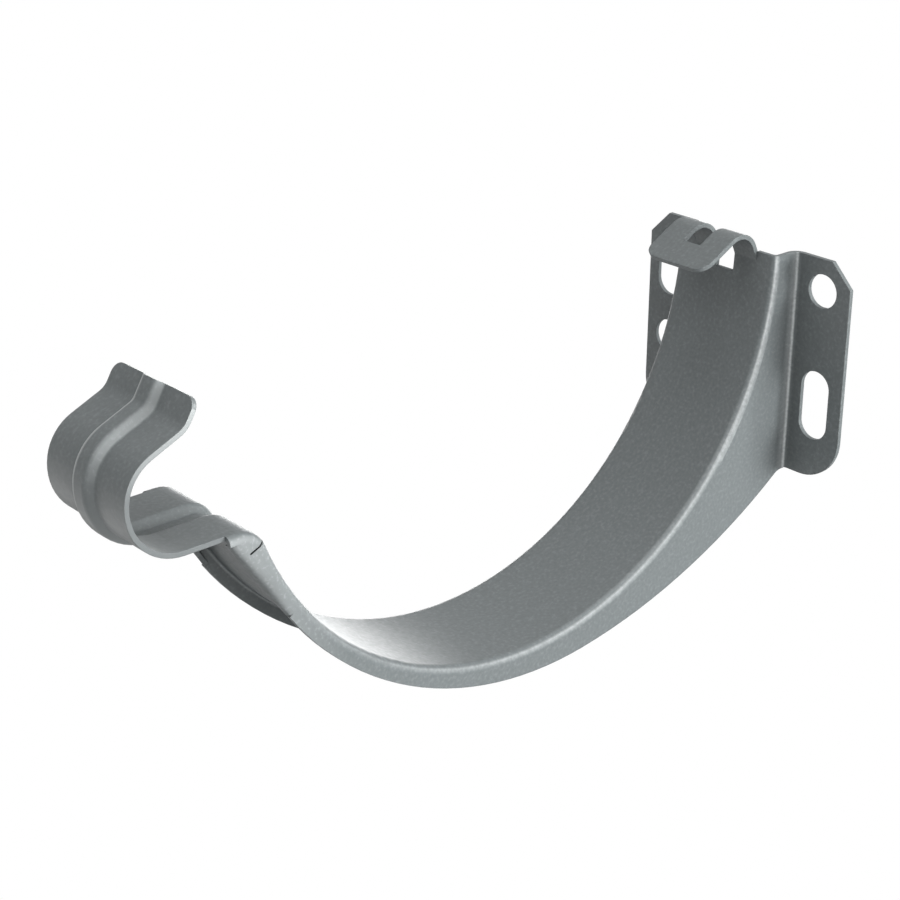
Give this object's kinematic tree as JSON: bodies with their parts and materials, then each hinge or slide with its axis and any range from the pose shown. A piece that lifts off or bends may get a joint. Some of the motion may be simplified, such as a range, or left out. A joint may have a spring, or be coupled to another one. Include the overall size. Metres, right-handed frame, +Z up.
{
  "type": "gutter bracket",
  "caption": "Painted sheet-steel fascia bracket that carries a half-round gutter between a rear tongue and a ribbed front hook.",
  "frame": {"origin": "on the fascia plane, in the bracket's middle plane, at the height of the gutter's centre line", "axes": "+X away from the fascia towards the front hook, +Y along the gutter, +Z up"},
  "size_m": [0.1541, 0.0516, 0.0738],
  "materials": {
    "powder_coat": "satin"
  },
  "bodies": {
    "root": {"bracket": "powder_coat"}
  },
  "joints": []
}
